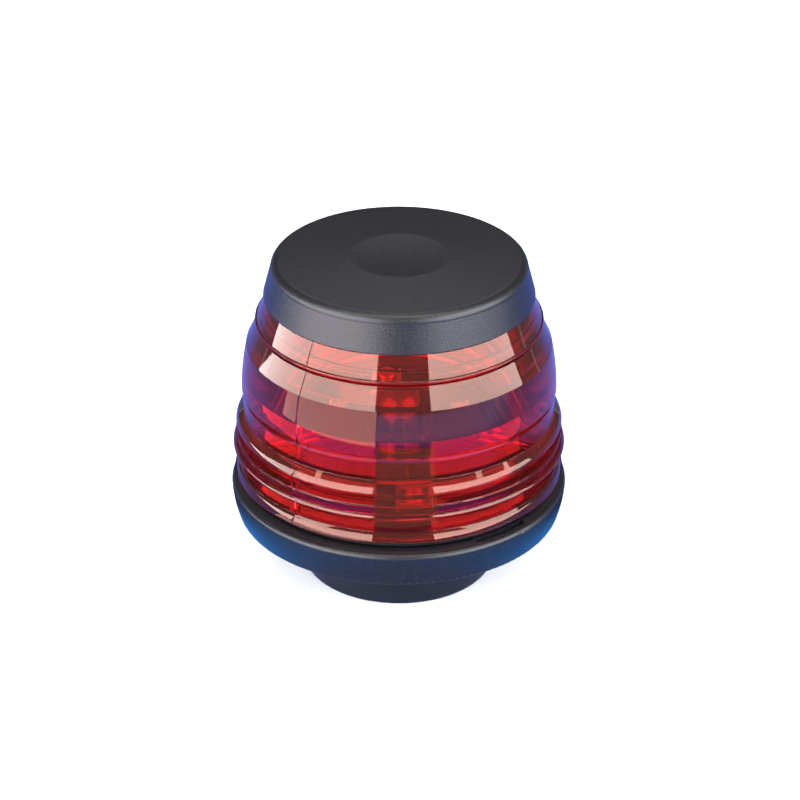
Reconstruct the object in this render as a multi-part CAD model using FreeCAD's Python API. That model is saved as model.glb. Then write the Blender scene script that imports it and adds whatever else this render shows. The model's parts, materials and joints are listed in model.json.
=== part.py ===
import FreeCAD, Part
import math
import os

# All-round navigation light in millimetres. The axis of the light is Z, its foot stands on z = 0 and
# its front is -Y. A black cap is screwed to the top of a red ringed lens, the lens screws into a black
# base, and a wedge bulb stands in a socket on a carrier inside the base.

# ---- driving dimensions -------------------------------------------------------------------------
RIM_R = 34.0  # widest part of the light, the rim of the base
CAP_TOP_Z = 69.1  # overall height
FOOT_R = 19.4  # round foot under the base
FOOT_FLOOR_Z = 3.0  # thickness of the foot's floor
UNDERSIDE_Z = 12.9  # underside of the base's flange
WELL_FLOOR_Z = 15.4  # floor of the well that the lens screws into
RIM_TOP_Z = 20.8  # top face of the base, where the seal lies
RIM_EDGE_Z = 20.25  # where the top face, falling outwards, meets the rim's rounding
CHAMBER_R = 16.35  # wiring chamber in the foot
SLOT_START = -62.0  # release slot in the top face, degrees from +X
SLOT_SPREAD = 22.0

# Screw thread between lens and base: single start, right hand.
PITCH = 3.0
WELL_R = 30.4  # root of the thread in the base
THREAD_DEPTH = 0.8
THREAD_FIT = 0.25  # radial clearance at root and crest
SKIRT_R = WELL_R - THREAD_FIT - THREAD_DEPTH  # root of the thread on the lens
SKIRT_BOTTOM_Z = 16.2
SKIRT_IN_R = 27.2
RIB_ROOT_HALF = 0.65  # half widths of a rib along the axis
RIB_CREST_HALF = 0.4
RIB_TURNS = 1.0
THREAD_Z = 15.75  # level at which the middle of the base's rib would pass +X
RIB_EMBED = 0.15  # how deep a rib is sunk in the wall that carries it

# Lens: levels of the flanges and of the edges between its bands.
LENS_BOTTOM_Z = 22.1
LENS_BOTTOM_R = 32.8
NECK_R = 25.0
FLANGE_LOW_Z = 60.8
FLANGE_TOP_Z = 63.2
FLANGE_IN_R = 15.5
BAND_TOP_Z = 60.6
INNER_STEPS = (  # prisms inside the wall: each leans in and steps back out
    (29.7, 24.4),
    (28.8, 28.5),
    (29.2, 28.65),
    (28.25, 33.25),
    (28.65, 33.4),
    (27.75, 38.0),
    (28.65, 38.15),
    (27.6, 42.7),
    (28.0, 42.85),
)

# Cap.
CAP_LOW_Z = 60.7
CAP_LOW_R = 27.07
CAP_SIDE_R = 25.6  # radius where the side meets the top's rounded edge
CAP_ROUND = 1.8
CAP_CEILING_Z = 66.6
CAP_SKIRT_IN_R = 25.2
CAP_CROWN = 0.3  # how far the top falls from the dish to its edge
CAP_DISH_R = 9.8
CAP_DISH_DEPTH = 0.4
GASKET_TOP_Z = 64.4
GASKET_R = (20.6, 24.3)
CAP_SCREW_RING_R = 18.0
CAP_SCREW_ANGLES = (30.0, 150.0, 270.0)
CAP_SCREW_TOP_Z = 67.4
SHIELD_R = 21.5
SHIELD_T = 0.5

# Seal ring between lens and base.
SEAL_R = 30.95
SEAL_SECTION_R = 0.6

# Carrier: a drum with a lip, screwed to the floor of the well.
DRUM_R = 23.0
DRUM_WALL = 2.0
DRUM_TOP_Z = 24.0
DRUM_PLATE = 2.0
LIP_WIDTH = 1.0
LIP_HEIGHT = 0.8
SKID_R = 26.6
SKID_TOP_Z = 17.0
CARRIER_SCREW_X = 15.6
CARRIER_SCREW_BOTTOM_Z = 8.0

# Self-tapping screws: shank and hole share one size all over the light.
SHANK_R = 1.45
HOLE_R = 1.5
HEAD_R = 2.8
HEAD_H = 1.8

# Socket and contacts.
SOCKET_R = 7.6
SOCKET_LOW_Z = 10.0
SOCKET_FLANGE_R = 10.5
SOCKET_FLANGE_TOP_Z = 25.4
COLLAR_TOP_Z = 30.0
BULB_BORE_R = 5.65
SHOULDER_Z = 20.6  # where the bulb's round glass ends and its wedge starts
WEDGE_SLOT = (10.1, 3.0)
SLOT_FLOOR_Z = 10.8
STRIP_T = 0.35
STRIP_W = 2.8
STRIP_X = 2.9  # the two contacts stand at +x in front and -x behind
TERMINAL_Y = -17.0
RIVET_Y = -12.3
DROP_Y = -6.1  # outer face of the contact where it goes down the socket's wall

# Bulb: a wedge base lamp with a round glass of 10.3 mm.
BULB_R = 5.15
BULB_TOP_Z = 35.7
GLASS_T = 0.7
WEDGE = (9.5, 2.5)
WEDGE_LOW_Z = 11.4
LEAD_R = 0.25
FILAMENT_Z = 29.5
BEAD_Z = 26.0

# Foot: cable hole with its grommet, two fixing holes and a groove for the seal.
CABLE_HOLE_R = 4.5
GROMMET_R = 6.2
GROMMET_BORE_R = 2.75
FIXING_HOLE_R = 2.25
FIXING_Y = 10.5
FOOT_GROOVE_R = (14.6, 17.2)
FOOT_GROOVE_DEPTH = 1.6

UP = FreeCAD.Vector(0, 0, 1)
AXIS_POINT = FreeCAD.Vector(0, 0, 0)


# ---- plain helpers ------------------------------------------------------------------------------
def section_point(radius, height):
    """Returns a point of the half section that is turned about the axis."""
    return FreeCAD.Vector(radius, 0, height)


def turned(start, *steps):
    """Returns the solid of a closed half section. A step is (r, z), or (through, end) for an arc."""
    edges = []
    here = section_point(*start)
    for step in (*steps, start):
        if isinstance(step[0], tuple):
            through = section_point(*step[0])
            there = section_point(*step[1])
            edges.append(Part.Arc(here, through, there).toShape())
        else:
            there = section_point(*step)
            edges.append(Part.LineSegment(here, there).toShape())
        here = there
    face = Part.Face(Part.Wire(edges))
    return face.revolve(AXIS_POINT, UP, 360)


def rod(radius, low, high, x=0.0, y=0.0):
    """Returns an upright cylinder between two levels."""
    return Part.makeCylinder(radius, high - low, FreeCAD.Vector(x, y, low))


def tube(inner, outer, low, high):
    """Returns an upright ring on the axis of the light."""
    return rod(outer, low, high).cut(rod(inner, low - 1, high + 1))


def block(x_range, y_range, z_range):
    """Returns a box from its three ranges."""
    corner = FreeCAD.Vector(x_range[0], y_range[0], z_range[0])
    sizes = [high - low for low, high in (x_range, y_range, z_range)]
    return Part.makeBox(*sizes, corner)


def about_axis(shape, degrees):
    """Returns a copy that is turned about the axis of the light."""
    copy = shape.copy()
    copy.rotate(AXIS_POINT, UP, degrees)
    return copy


def joined(first, *others):
    """Returns one solid made of overlapping shapes."""
    return first.fuse(list(others)).removeSplitter()


def polar(radius, degrees):
    """Returns x and y of a point given by radius and angle from +X."""
    angle = math.radians(degrees)
    return radius * math.cos(angle), radius * math.sin(angle)


def thread_rib(wall_r, crest_r, start_degrees, phase):
    """Returns one helical rib of the thread. A phase of 0.5 runs midway between a phase of 0."""
    first_z = THREAD_Z + PITCH * (phase + start_degrees / 360)
    sink = RIB_EMBED if wall_r > crest_r else -RIB_EMBED
    corners = [
        FreeCAD.Vector(wall_r + sink, 0, first_z - RIB_ROOT_HALF),
        FreeCAD.Vector(crest_r, 0, first_z - RIB_CREST_HALF),
        FreeCAD.Vector(crest_r, 0, first_z + RIB_CREST_HALF),
        FreeCAD.Vector(wall_r + sink, 0, first_z + RIB_ROOT_HALF),
    ]
    profile = Part.makePolygon([*corners, corners[0]])
    path = Part.makeHelix(PITCH, PITCH * RIB_TURNS, wall_r)
    path.translate(FreeCAD.Vector(0, 0, first_z))
    rib = Part.Wire(path.Edges).makePipeShell([profile], True, True)
    return about_axis(rib, start_degrees)


def pan_head(x, y, low, high, cross, head_r=HEAD_R):
    """Returns a screw head with a driver slot, or a cross when asked, cut into its far face."""
    depth = 0.55 * abs(high - low)
    bottom, top = min(low, high), max(low, high)
    head = rod(head_r, bottom, top, x, y)
    rounded = [e for e in head.Edges if abs(e.BoundBox.ZMin - high) < 1e-6 and e.BoundBox.ZLength < 1e-6]
    head = head.makeFillet(0.5, rounded)
    cut_range = (high - depth, high + 1) if high > low else (high - 1, high + depth)
    reach = 0.62 * head_r if cross else head_r + 1
    slot = block((x - reach, x + reach), (y - 0.4, y + 0.4), cut_range)
    head = head.cut(slot)
    if cross:
        head = head.cut(block((x - 0.4, x + 0.4), (y - reach, y + reach), cut_range))
    return head


def save(name, *solids):
    """Writes one node. Several solids stay separate in a compound."""
    shape = solids[0] if len(solids) == 1 else Part.makeCompound(list(solids))
    shape.exportStep("parts/" + name + ".step")
    volumes = ", ".join(f"{solid.Volume:.1f}" for solid in solids)
    print(f"{name}: {len(shape.Solids)} solid, valid {shape.isValid()}, mm3 {volumes}")


# ---- base ---------------------------------------------------------------------------------------
def base_housing():
    """Flanged base with its foot, wiring chamber, threaded well and fixing holes."""
    body = turned(
        (0, FOOT_FLOOR_Z),
        (0, 0),
        (FOOT_R - 0.9, 0),
        ((FOOT_R - 0.26, 0.26), (FOOT_R, 0.9)),
        (FOOT_R, UNDERSIDE_Z - 1.2),
        ((FOOT_R + 0.35, UNDERSIDE_Z - 0.35), (FOOT_R + 1.2, UNDERSIDE_Z)),
        (RIM_R - 1.6, UNDERSIDE_Z),
        ((RIM_R - 1.3, UNDERSIDE_Z + 0.1), (RIM_R - 1.15, UNDERSIDE_Z + 0.4)),
        ((RIM_R - 0.33, 16.3), (RIM_R, RIM_EDGE_Z - 1.05)),
        ((RIM_R - 0.28, RIM_EDGE_Z - 0.33), (RIM_R - 0.95, RIM_EDGE_Z)),
        (WELL_R + 1.5, RIM_TOP_Z),
        (WELL_R + 0.3, RIM_TOP_Z),
        (WELL_R, RIM_TOP_Z - 0.3),
        (WELL_R, WELL_FLOOR_Z),
        (CHAMBER_R, WELL_FLOOR_Z),
        (CHAMBER_R, FOOT_FLOOR_Z),
    )
    bosses = [rod(3.0, FOOT_FLOOR_Z - 0.5, WELL_FLOOR_Z, side * CARRIER_SCREW_X) for side in (-1, 1)]
    rib = thread_rib(WELL_R, WELL_R - THREAD_DEPTH, 50, 0)
    body = joined(body, *bosses, rib)
    for side in (-1, 1):
        body = body.cut(rod(HOLE_R, CARRIER_SCREW_BOTTOM_Z - 0.5, DRUM_TOP_Z, side * CARRIER_SCREW_X))
        body = body.cut(rod(FIXING_HOLE_R, -1, FOOT_FLOOR_Z + 1, 0, side * FIXING_Y))
    body = body.cut(rod(CABLE_HOLE_R, -1, FOOT_FLOOR_Z + 1))
    body = body.cut(rod(GROMMET_R + 0.2, -1, 1.0))
    body = body.cut(tube(*FOOT_GROOVE_R, -1, FOOT_GROOVE_DEPTH))
    return body.cut(release_slot())


def release_slot():
    """Shallow slot in the top face, for the tip of a screwdriver that starts a tight lens."""
    ring = tube(WELL_R + 1.25, WELL_R + 2.4, RIM_TOP_Z - 1.2, RIM_TOP_Z + 1)
    wedge = Part.makeCylinder(RIM_R + 5, 4, FreeCAD.Vector(0, 0, RIM_TOP_Z - 2), UP, SLOT_SPREAD)
    return ring.common(about_axis(wedge, SLOT_START))


def foot_seal():
    """Flat rubber ring in the groove under the foot."""
    low_r, high_r = FOOT_GROOVE_R
    return tube(low_r + 0.15, high_r - 0.15, 0, FOOT_GROOVE_DEPTH - 0.05)


def cable_grommet():
    """Rubber grommet that grips the floor of the foot and seals the cable."""
    return turned(
        (GROMMET_BORE_R, 0.2),
        (GROMMET_R, 0.2),
        (GROMMET_R, 0.98),
        (CABLE_HOLE_R - 0.03, 0.98),
        (CABLE_HOLE_R - 0.03, FOOT_FLOOR_Z + 0.02),
        (GROMMET_R - 0.6, FOOT_FLOOR_Z + 0.02),
        (GROMMET_R - 1.2, 4.4),
        (GROMMET_BORE_R, 4.4),
    )


def lens_seal():
    """Rubber ring that the lens presses on the top face of the base."""
    middle = FreeCAD.Vector(0, 0, (RIM_TOP_Z + LENS_BOTTOM_Z) / 2)
    return Part.makeTorus(SEAL_R, SEAL_SECTION_R, middle, UP)


# ---- lens and cap -------------------------------------------------------------------------------
def lens():
    """Red lens: two bands and a barrel above three rings, a threaded skirt and a top flange."""
    body = turned(
        (FLANGE_IN_R, FLANGE_TOP_Z),
        (NECK_R, FLANGE_TOP_Z),
        (NECK_R, BAND_TOP_Z),
        (26.45, BAND_TOP_Z),
        (28.65, 55.35),
        (28.25, 54.95),
        (30.6, 50.3),
        ((31.23, 46.6), (31.62, 43.0)),
        (31.7, 41.2),
        ((31.62, 40.2), (31.36, 39.5)),
        (31.36, 35.6),
        ((32.45, 34.8), (32.92, 33.45)),
        ((32.97, 32.3), (32.92, 31.2)),
        (32.92, 30.75),
        (33.1, 30.55),
        (33.2, 29.35),
        ((33.48, 28.95), (33.58, 28.45)),
        (32.45, 28.0),
        (32.33, 24.95),
        ((32.88, 23.95), (33.22, 22.95)),
        ((33.2, 22.55), (LENS_BOTTOM_R, LENS_BOTTOM_Z)),
        (SKIRT_R, LENS_BOTTOM_Z),
        (SKIRT_R, SKIRT_BOTTOM_Z),
        (SKIRT_IN_R, SKIRT_BOTTOM_Z),
        (SKIRT_IN_R, 23.8),
        *INNER_STEPS,
        (27.5, 50.0),
        (23.5, FLANGE_LOW_Z - 0.9),
        ((23.1, FLANGE_LOW_Z - 0.25), (22.4, FLANGE_LOW_Z)),
        (FLANGE_IN_R, FLANGE_LOW_Z),
    )
    rib = thread_rib(SKIRT_R, SKIRT_R + THREAD_DEPTH, -40, 0.5)
    body = joined(body, rib)
    for degrees in CAP_SCREW_ANGLES:
        x, y = polar(CAP_SCREW_RING_R, degrees)
        body = body.cut(rod(HOLE_R + 0.1, FLANGE_LOW_Z - 1, FLANGE_TOP_Z + 1, x, y))
    return body


def cap():
    """Black cap with a crowned and dished top, a skirt over the lens and three screw bosses."""
    edge_z = CAP_TOP_Z - CAP_CROWN
    shell = turned(
        (0, CAP_CEILING_Z),
        (GASKET_R[0], CAP_CEILING_Z),
        (GASKET_R[0], GASKET_TOP_Z),
        (CAP_SKIRT_IN_R, GASKET_TOP_Z),
        (CAP_SKIRT_IN_R, CAP_LOW_Z),
        (CAP_LOW_R - 0.25, CAP_LOW_Z),
        (CAP_LOW_R, CAP_LOW_Z + 0.3),
        (CAP_SIDE_R, edge_z - CAP_ROUND),
        ((CAP_SIDE_R - 0.65, edge_z - 0.45), (CAP_SIDE_R - 2.0, edge_z)),
        (CAP_DISH_R, CAP_TOP_Z),
        (0, CAP_TOP_Z),
    )
    places = [polar(CAP_SCREW_RING_R, degrees) for degrees in CAP_SCREW_ANGLES]
    bosses = [rod(3.7, FLANGE_TOP_Z + 0.05, CAP_CEILING_Z + 0.5, x, y) for x, y in places]
    dish_ball_r = (CAP_DISH_R**2 + CAP_DISH_DEPTH**2) / (2 * CAP_DISH_DEPTH)
    dish_middle = FreeCAD.Vector(0, 0, CAP_TOP_Z - CAP_DISH_DEPTH + dish_ball_r)
    body = joined(shell, *bosses).cut(Part.makeSphere(dish_ball_r, dish_middle))
    for x, y in places:
        body = body.cut(rod(HOLE_R, FLANGE_TOP_Z - 1, CAP_SCREW_TOP_Z + 0.3, x, y))
    return body


def cap_gasket():
    """Flat rubber ring between the top flange of the lens and the cap."""
    return tube(*GASKET_R, FLANGE_TOP_Z, GASKET_TOP_Z).cut(
        Part.makeCompound([rod(3.9, FLANGE_TOP_Z - 1, GASKET_TOP_Z + 1, *polar(CAP_SCREW_RING_R, a))
                           for a in CAP_SCREW_ANGLES])
    )


def heat_shield():
    """Thin aluminium disc that keeps the bulb's heat off the cap."""
    low = FLANGE_LOW_Z - SHIELD_T
    disc = rod(SHIELD_R, low, FLANGE_LOW_Z)
    for degrees in CAP_SCREW_ANGLES:
        disc = disc.cut(rod(HOLE_R + 0.1, low - 1, FLANGE_LOW_Z + 1, *polar(CAP_SCREW_RING_R, degrees)))
    return disc


def cap_screws():
    """Three screws from below, through shield and lens, into the cap."""
    seat = FLANGE_LOW_Z - SHIELD_T
    screws = []
    for degrees in CAP_SCREW_ANGLES:
        x, y = polar(CAP_SCREW_RING_R, degrees)
        head = pan_head(x, y, seat, seat - HEAD_H, cross=True)
        screws.append(joined(head, rod(SHANK_R, seat - 0.2, CAP_SCREW_TOP_Z, x, y)))
    return screws


# ---- carrier, socket and contacts ---------------------------------------------------------------
def at_both_contacts(shape):
    """Returns the front right shape and its copy at the back left."""
    return [shape, about_axis(shape, 180)]


def lamp_carrier():
    """Moulded drum that lifts the bulb to the middle of the lens and carries the terminals."""
    plate_z = DRUM_TOP_Z - DRUM_PLATE
    drum = turned(
        (SOCKET_R + 0.1, DRUM_TOP_Z),
        (DRUM_R - LIP_WIDTH - 0.2, DRUM_TOP_Z),
        (DRUM_R - LIP_WIDTH, DRUM_TOP_Z + LIP_HEIGHT - 0.2),
        ((DRUM_R - LIP_WIDTH / 2, DRUM_TOP_Z + LIP_HEIGHT), (DRUM_R, DRUM_TOP_Z + LIP_HEIGHT - 0.3)),
        (DRUM_R, SKID_TOP_Z),
        (SKID_R, SKID_TOP_Z),
        (SKID_R, WELL_FLOOR_Z),
        (DRUM_R - DRUM_WALL, WELL_FLOOR_Z),
        (DRUM_R - DRUM_WALL, plate_z),
        (SOCKET_R + 0.1, plate_z),
    )
    columns = [rod(4.2, WELL_FLOOR_Z, plate_z + 0.5, side * CARRIER_SCREW_X) for side in (-1, 1)]
    bosses = at_both_contacts(rod(3.2, 17.2, plate_z + 0.5, STRIP_X, TERMINAL_Y))
    body = joined(drum, *columns, *bosses)
    for side in (-1, 1):
        x = side * CARRIER_SCREW_X
        body = body.cut(rod(HOLE_R + 0.1, WELL_FLOOR_Z - 1, DRUM_TOP_Z + 1, x))
        body = body.cut(rod(HEAD_R + 0.3, plate_z, DRUM_TOP_Z + 1, x))
    holes = [
        rod(HOLE_R, 17.0 - 1, DRUM_TOP_Z + 1, STRIP_X, TERMINAL_Y),
        rod(0.85, plate_z - 1, DRUM_TOP_Z + 1, STRIP_X, RIVET_Y),
        rod(1.8, plate_z - 1, DRUM_TOP_Z + 1, 9.8, -15.2),
    ]
    for hole in holes:
        for tool in at_both_contacts(hole):
            body = body.cut(tool)
    return body


def carrier_screws():
    """Two screws that hold the carrier to the base."""
    seat = DRUM_TOP_Z - DRUM_PLATE
    screws = []
    for side in (-1, 1):
        x = side * CARRIER_SCREW_X
        shank = rod(SHANK_R, CARRIER_SCREW_BOTTOM_Z, seat + 0.2, x)
        screws.append(joined(pan_head(x, 0, seat, seat + HEAD_H, cross=True), shank))
    return screws


def contact_space():
    """Channel in the socket for the front contact: over the flange, down the wall, along the wedge."""
    width = (STRIP_X - STRIP_W / 2 - 0.2, STRIP_X + STRIP_W / 2 + 0.2)
    notch = block(width, (-SOCKET_R - 1, -5.0), (SOCKET_FLANGE_TOP_Z, COLLAR_TOP_Z + 1))
    drop = block(width, (DROP_Y - 0.3, -5.0), (19.5, SOCKET_FLANGE_TOP_Z + 0.5))
    step = block(width, (DROP_Y - 0.3, -1.0), (19.5, SHOULDER_Z + 0.1))
    wedge_side = block(width, (-2.8, -1.0), (SLOT_FLOOR_Z, SHOULDER_Z + 0.1))
    return [notch, drop, step, wedge_side]


def socket_body():
    """Heat resistant socket: a flanged tube with a slot for the bulb's wedge."""
    body = turned(
        (0, SOCKET_LOW_Z),
        (SOCKET_R, SOCKET_LOW_Z),
        (SOCKET_R, DRUM_TOP_Z),
        (SOCKET_FLANGE_R, DRUM_TOP_Z),
        (SOCKET_FLANGE_R, SOCKET_FLANGE_TOP_Z),
        (SOCKET_R, SOCKET_FLANGE_TOP_Z),
        (SOCKET_R, COLLAR_TOP_Z - 0.4),
        (SOCKET_R - 0.4, COLLAR_TOP_Z),
        (BULB_BORE_R + 0.3, COLLAR_TOP_Z),
        (BULB_BORE_R, COLLAR_TOP_Z - 0.3),
        (BULB_BORE_R, SHOULDER_Z),
        (0, SHOULDER_Z),
    )
    lug = block((SOCKET_R - 0.5, SOCKET_R + 1.0), (-2.0, 2.0), (20.9, DRUM_TOP_Z - DRUM_PLATE - 0.05))
    body = joined(body, lug, about_axis(lug, 180))
    half_x, half_y = WEDGE_SLOT[0] / 2, WEDGE_SLOT[1] / 2
    body = body.cut(block((-half_x, half_x), (-half_y, half_y), (SLOT_FLOOR_Z, SHOULDER_Z + 1)))
    for tool in contact_space():
        for side in at_both_contacts(tool):
            body = body.cut(side)
    return body


def front_contact():
    """Brass strip from the terminal over the socket's flange to the wedge, with a pressed nose."""
    top = SOCKET_FLANGE_TOP_Z
    t = STRIP_T
    path = [
        (-13.7, top), (DROP_Y, top), (DROP_Y, 19.85), (-2.35, 19.85), (-2.35, 12.6), (-2.35 + t, 12.6),
        (-2.35 + t, 19.85 + t), (DROP_Y + t, 19.85 + t), (DROP_Y + t, top + t), (-13.7, top + t),
    ]
    left = STRIP_X - STRIP_W / 2
    points = [FreeCAD.Vector(left, y, z) for y, z in path]
    face = Part.Face(Part.makePolygon([*points, points[0]]))
    strip = face.extrude(FreeCAD.Vector(STRIP_W, 0, 0))
    nose = Part.makeCylinder(0.3, STRIP_W, FreeCAD.Vector(left, -2.08, 14.2), FreeCAD.Vector(1, 0, 0))
    strip = joined(strip, nose)
    return strip.cut(rod(0.85, top - 1, top + 1, STRIP_X, RIVET_Y))


def front_terminal():
    """Brass plate that a supply wire is clamped to."""
    x_range = (STRIP_X - 3.5, STRIP_X + 3.5)
    plate = block(x_range, (-20.5, -11.0), (DRUM_TOP_Z, SOCKET_FLANGE_TOP_Z))
    upright = [e for e in plate.Edges if e.BoundBox.ZLength > 1]
    plate = plate.makeFillet(0.8, upright)
    plate = plate.cut(rod(HOLE_R, DRUM_TOP_Z - 1, SOCKET_FLANGE_TOP_Z + 1, STRIP_X, TERMINAL_Y))
    return plate.cut(rod(0.85, DRUM_TOP_Z - 1, SOCKET_FLANGE_TOP_Z + 1, STRIP_X, RIVET_Y))


def clamp_washer():
    """Square washer under the terminal screw, with two turned up ears."""
    low = SOCKET_FLANGE_TOP_Z
    half = 2.7
    x_range = (STRIP_X - half, STRIP_X + half)
    plate = block(x_range, (TERMINAL_Y - half, TERMINAL_Y + half), (low, low + 0.8))
    ears = [block((x - 0.35, x + 0.35), (TERMINAL_Y - half, TERMINAL_Y + half), (low + 0.2, low + 1.6))
            for x in (x_range[0] - 0.3, x_range[1] + 0.3)]
    plate = joined(plate, *ears)
    return plate.cut(rod(HOLE_R, low - 1, low + 2, STRIP_X, TERMINAL_Y))


def terminal_screw():
    """Slotted screw that clamps a wire under its washer."""
    seat = SOCKET_FLANGE_TOP_Z + 0.8
    head = pan_head(STRIP_X, TERMINAL_Y, seat, seat + HEAD_H, cross=False, head_r=2.2)
    return joined(head, rod(SHANK_R, 17.6, seat + 0.2, STRIP_X, TERMINAL_Y))


def contact_rivet():
    """Rivet through contact, terminal plate and carrier."""
    top = SOCKET_FLANGE_TOP_Z + STRIP_T
    under = DRUM_TOP_Z - DRUM_PLATE
    shank = rod(0.8, under - 0.2, top + 0.2, STRIP_X, RIVET_Y)
    heads = [rod(1.3, top, top + 0.6, STRIP_X, RIVET_Y), rod(1.3, under - 0.6, under, STRIP_X, RIVET_Y)]
    return joined(shank, *heads)


# ---- bulb ---------------------------------------------------------------------------------------
def round_glass(radius, top_z, low_z, neck_r):
    """Returns the solid inside one skin of the bulb: a domed rod that narrows at its foot."""
    dome_z = top_z - radius
    slant = radius / math.sqrt(2)
    return turned(
        (0, low_z),
        (neck_r, low_z),
        ((radius - 0.45, low_z + 0.9), (radius, low_z + 2.6)),
        (radius, dome_z),
        ((slant, dome_z + slant), (0, top_z)),
    )


def lead(side):
    """Nickel wire from the filament through the wedge, folded up over its face."""
    x = side * STRIP_X
    face_y = -side * (WEDGE[1] / 2 + LEAD_R + 0.02)
    low = WEDGE_LOW_Z - LEAD_R - 0.02
    inner = rod(LEAD_R, low, FILAMENT_Z, x)
    under = Part.makeCylinder(
        LEAD_R, abs(face_y), FreeCAD.Vector(x, 0, low), FreeCAD.Vector(0, math.copysign(1, face_y), 0)
    )
    folded = rod(LEAD_R, low, 16.4, x, face_y)
    corners = [Part.makeSphere(LEAD_R, FreeCAD.Vector(x, y, low)) for y in (0, face_y)]
    return joined(inner, under, folded, *corners)


def filament():
    """Envelope of the coiled tungsten filament between the leads."""
    reach = STRIP_X - LEAD_R + 0.02
    start = FreeCAD.Vector(-reach + 0.05, 0, FILAMENT_Z - 0.4)
    return Part.makeCylinder(0.28, 2 * reach - 0.1, start, FreeCAD.Vector(1, 0, 0))


def bead():
    """Glass bead that ties the two leads together inside the bulb."""
    start = FreeCAD.Vector(-STRIP_X - 0.8, 0, BEAD_Z)
    body = Part.makeCylinder(0.85, 2 * STRIP_X + 1.6, start, FreeCAD.Vector(1, 0, 0))
    body = body.makeFillet(0.5, [e for e in body.Edges if e.BoundBox.XLength < 1e-6])
    return body.cut(Part.makeCompound([lead(-1), lead(1)]))


def bulb_envelope():
    """Glass of the bulb: a hollow domed tube pressed flat into a wedge."""
    outside = round_glass(BULB_R, BULB_TOP_Z, SHOULDER_Z + 0.2, 3.6)
    half_x, half_y = WEDGE[0] / 2, WEDGE[1] / 2
    wedge = block((-half_x, half_x), (-half_y, half_y), (WEDGE_LOW_Z, SHOULDER_Z + 1.6))
    wedge = wedge.common(rod(BULB_R - 0.1, WEDGE_LOW_Z - 1, SHOULDER_Z + 3))
    inside = round_glass(BULB_R - GLASS_T, BULB_TOP_Z - GLASS_T, SHOULDER_Z + 2.0, 2.9)
    body = joined(outside, wedge).cut(inside)
    return body.cut(Part.makeCompound([lead(-1), lead(1)]))


# ---- files --------------------------------------------------------------------------------------
def save_pair(right_name, left_name, front_shape):
    """Writes the front right node and its twin at the back left."""
    front, back = at_both_contacts(front_shape)
    save(right_name, front)
    save(left_name, back)


def main():
    """Builds every node and writes its STEP file."""
    os.makedirs("parts", exist_ok=True)
    save("base_housing", base_housing())
    save("foot_seal", foot_seal())
    save("cable_grommet", cable_grommet())
    save("lamp_carrier", lamp_carrier())
    save("carrier_screws", *carrier_screws())
    save("socket_body", socket_body())
    save_pair("contact_right", "contact_left", front_contact())
    save_pair("terminal_right", "terminal_left", front_terminal())
    save("clamp_washers", *at_both_contacts(clamp_washer()))
    save("terminal_screws", *at_both_contacts(terminal_screw()))
    save("contact_rivets", *at_both_contacts(contact_rivet()))
    save("lens_seal", lens_seal())
    save("lens", lens())
    save("cap", cap())
    save("cap_gasket", cap_gasket())
    save("heat_shield", heat_shield())
    save("cap_screws", *cap_screws())
    save("bulb_envelope", bulb_envelope())
    save("bulb_lead_right", lead(1))
    save("bulb_lead_left", lead(-1))
    save("bulb_filament", filament())
    save("bulb_bead", bead())


main()
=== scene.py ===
"""Looks of an all-round navigation light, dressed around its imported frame.

The frame gives the place of every node. Pieces that need a finer surface than the frame's are built
again here and stand for their nodes: the lens, the cap and the filament. All other nodes keep their
shape and get their finish. Classes hold their sizes in millimetres, and a mesh is made in metres.
"""

import json
import logging
import math
from collections.abc import Callable
from dataclasses import dataclass, field
from enum import Enum

import bmesh
import bpy
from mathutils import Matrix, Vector

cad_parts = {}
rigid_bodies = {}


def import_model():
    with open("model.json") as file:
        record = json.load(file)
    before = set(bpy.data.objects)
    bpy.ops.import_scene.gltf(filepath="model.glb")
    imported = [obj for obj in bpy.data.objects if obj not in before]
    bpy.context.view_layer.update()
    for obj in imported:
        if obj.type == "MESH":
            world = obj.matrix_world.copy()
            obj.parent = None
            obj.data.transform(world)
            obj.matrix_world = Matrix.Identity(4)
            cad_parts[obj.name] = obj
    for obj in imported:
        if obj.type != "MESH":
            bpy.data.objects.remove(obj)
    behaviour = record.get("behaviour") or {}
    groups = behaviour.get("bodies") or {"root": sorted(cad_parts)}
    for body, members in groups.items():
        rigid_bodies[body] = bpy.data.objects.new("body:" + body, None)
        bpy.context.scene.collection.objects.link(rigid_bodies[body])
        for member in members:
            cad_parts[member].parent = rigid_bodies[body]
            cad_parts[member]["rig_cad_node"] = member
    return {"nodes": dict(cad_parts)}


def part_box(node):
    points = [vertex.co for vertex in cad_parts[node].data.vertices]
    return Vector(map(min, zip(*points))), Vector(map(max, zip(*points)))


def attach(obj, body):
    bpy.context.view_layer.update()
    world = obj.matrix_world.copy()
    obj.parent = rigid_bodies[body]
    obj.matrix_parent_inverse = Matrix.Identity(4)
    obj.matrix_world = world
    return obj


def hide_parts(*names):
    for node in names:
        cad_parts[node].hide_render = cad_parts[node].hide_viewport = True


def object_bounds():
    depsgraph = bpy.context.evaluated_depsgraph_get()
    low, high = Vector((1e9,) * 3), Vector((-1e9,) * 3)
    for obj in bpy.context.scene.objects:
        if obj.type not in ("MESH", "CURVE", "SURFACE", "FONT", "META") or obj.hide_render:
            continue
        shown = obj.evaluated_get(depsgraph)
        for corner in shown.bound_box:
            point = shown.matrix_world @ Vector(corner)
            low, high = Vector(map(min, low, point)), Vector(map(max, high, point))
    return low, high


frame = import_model()
CAD_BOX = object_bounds()

LOG = logging.getLogger("navigation_light")
MM = 0.001
FULL_TURN = 2 * math.pi
TOUCH_MM = 0.01
ROUNDING_SHARE = 0.45  # of a side, at most, goes to the rounding of one of its ends

Point = tuple[float, float]
Colour = tuple[float, float, float, float]
Relief = Callable[[float, float, float], float]


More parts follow.
